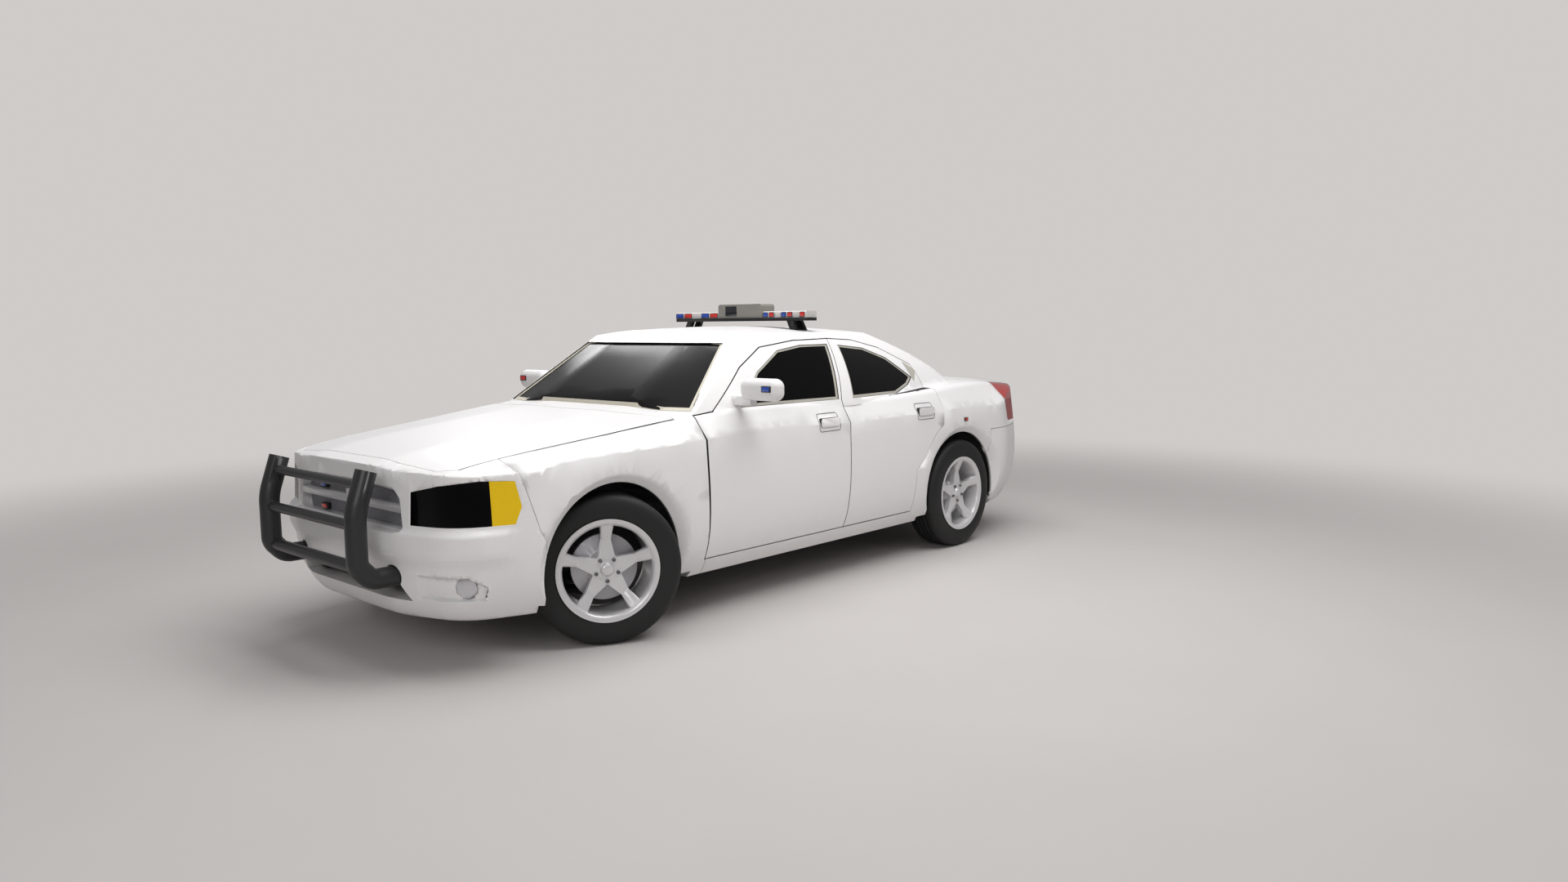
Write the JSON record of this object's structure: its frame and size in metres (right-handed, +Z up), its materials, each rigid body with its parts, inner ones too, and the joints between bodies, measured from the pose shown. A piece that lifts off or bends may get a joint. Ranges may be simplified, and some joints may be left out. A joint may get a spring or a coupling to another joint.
{
  "type": "marked patrol car",
  "caption": "Four-door patrol car with push bumper and roof light bar; doors, hood, trunk lid, steering and wheels move.",
  "frame": {"origin": "on the ground under the middle of the whole car, push bumper included", "axes": "+X to the car's left, +Y to its tail, +Z up; the car faces -Y"},
  "size_m": [2.32, 5.28, 1.692],
  "materials": {
    "white_paint": "gloss",
    "white_cover": "gloss",
    "black_tube": "satin",
    "dark_plastic": "matte",
    "grey_plastic": "satin",
    "tinted_glass": "gloss",
    "lamp_glass": "gloss",
    "amber_lens": "gloss",
    "red_lens": "gloss",
    "clear_lens": "gloss",
    "bar_lens": "gloss",
    "steel": "matte",
    "floor_paint": "matte",
    "seat_cloth": "matte",
    "cast_engine": "matte",
    "bare_steel": "satin",
    "wheel_paint": "gloss",
    "tyre_rubber": "matte"
  },
  "bodies": {
    "root": {"underbody": "floor_paint", "body_side_left": "white_paint", "body_side_right": "white_paint", "roof_panel": "white_paint", "cowl": "white_paint", "rear_deck": "white_paint", "b_pillars": "floor_paint", "front_fenders": "white_paint", "front_bumper": "white_cover", "rear_bumper": "white_cover", "grille": "grey_plastic", "headlamps": "lamp_glass", "turn_lamps": "amber_lens", "fog_lamps": "clear_lens", "tail_lamps": "red_lens", "arch_liners": "dark_plastic", "windscreen": "tinted_glass", "rear_window": "tinted_glass", "push_bumper": "black_tube", "light_bar_tray": "dark_plastic", "light_bar_lenses": "bar_lens", "light_bar_box": "grey_plastic", "front_seats": "seat_cloth", "rear_seat": "seat_cloth", "dashboard": "dark_plastic", "steering_column": "dark_plastic", "engine": "cast_engine", "exhaust": "bare_steel", "front_subframe": "steel", "rear_axle": "steel"},
    "hood": {"hood": "white_paint"},
    "trunk_lid": {"trunk_lid": "white_paint"},
    "steering_wheel": {"steering_wheel": "dark_plastic"},
    "front_door_left": {"front_door_left": "white_paint", "front_glass_left": "tinted_glass", "mirror_left": "white_cover"},
    "rear_door_left": {"rear_door_left": "white_paint", "rear_glass_left": "tinted_glass"},
    "front_knuckle_left": {"front_knuckle_left": "steel"},
    "front_wheel_left": {"front_wheel_left": "wheel_paint", "front_tyre_left": "tyre_rubber"},
    "rear_wheel_left": {"rear_wheel_left": "wheel_paint", "rear_tyre_left": "tyre_rubber"},
    "front_door_right": {"front_door_right": "white_paint", "front_glass_right": "tinted_glass", "mirror_right": "white_cover"},
    "rear_door_right": {"rear_door_right": "white_paint", "rear_glass_right": "tinted_glass"},
    "front_knuckle_right": {"front_knuckle_right": "steel"},
    "front_wheel_right": {"front_wheel_right": "wheel_paint", "front_tyre_right": "tyre_rubber"},
    "rear_wheel_right": {"rear_wheel_right": "wheel_paint", "rear_tyre_right": "tyre_rubber"}
  },
  "joints": [
    {"name": "hood_hinge", "type": "hinge", "parent": "root", "child": "hood", "pos_m": [0, -1.056, 1.107], "axis": [-1, 0, 0], "range_deg": [0, 55]},
    {"name": "trunk_hinge", "type": "hinge", "parent": "root", "child": "trunk_lid", "pos_m": [0, 1.936, 1.16], "axis": [1, 0, 0], "range_deg": [0, 70]},
    {"name": "front_door_left_hinge", "type": "hinge", "parent": "root", "child": "front_door_left", "pos_m": [0.946, -0.92, 0.7], "axis": [0, 0, -1], "range_deg": [0, 68]},
    {"name": "rear_door_left_hinge", "type": "hinge", "parent": "root", "child": "rear_door_left", "pos_m": [0.946, 0.26, 0.7], "axis": [0, 0, -1], "range_deg": [0, 65]},
    {"name": "steer_left", "type": "hinge", "parent": "root", "child": "front_knuckle_left", "pos_m": [0.745, -1.48, 0.374], "axis": [0, 0, 1], "range_deg": [-6, 62]},
    {"name": "front_spin_left", "type": "hinge", "parent": "front_knuckle_left", "child": "front_wheel_left", "pos_m": [0.79798, -1.50817, 0.374], "axis": [0.8829, -0.4695, 0], "continuous": true},
    {"name": "rear_spin_left", "type": "hinge", "parent": "root", "child": "rear_wheel_left", "pos_m": [0.805, 1.568, 0.374], "axis": [1, 0, 0], "continuous": true},
    {"name": "front_door_right_hinge", "type": "hinge", "parent": "root", "child": "front_door_right", "pos_m": [-0.946, -0.92, 0.7], "axis": [0, 0, 1], "range_deg": [0, 68]},
    {"name": "rear_door_right_hinge", "type": "hinge", "parent": "root", "child": "rear_door_right", "pos_m": [-0.946, 0.26, 0.7], "axis": [0, 0, 1], "range_deg": [0, 65]},
    {"name": "steer_right", "type": "hinge", "parent": "root", "child": "front_knuckle_right", "pos_m": [-0.745, -1.48, 0.374], "axis": [0, 0, 1], "range_deg": [-6, 62]},
    {"name": "front_spin_right", "type": "hinge", "parent": "front_knuckle_right", "child": "front_wheel_right", "pos_m": [-0.79798, -1.45183, 0.374], "axis": [0.8829, -0.4695, 0], "continuous": true},
    {"name": "rear_spin_right", "type": "hinge", "parent": "root", "child": "rear_wheel_right", "pos_m": [-0.805, 1.568, 0.374], "axis": [1, 0, 0], "continuous": true},
    {"name": "steering_wheel_turn", "type": "hinge", "parent": "root", "child": "steering_wheel", "pos_m": [0.37, -0.35, 0.94], "axis": [0, -0.9135, -0.4067], "range_deg": [-84, 868]}
  ],
  "couplings": [
    {"joint": "steer_right", "follows": "steer_left", "ratio": 1},
    {"joint": "steering_wheel_turn", "follows": "steer_left", "ratio": 14}
  ]
}
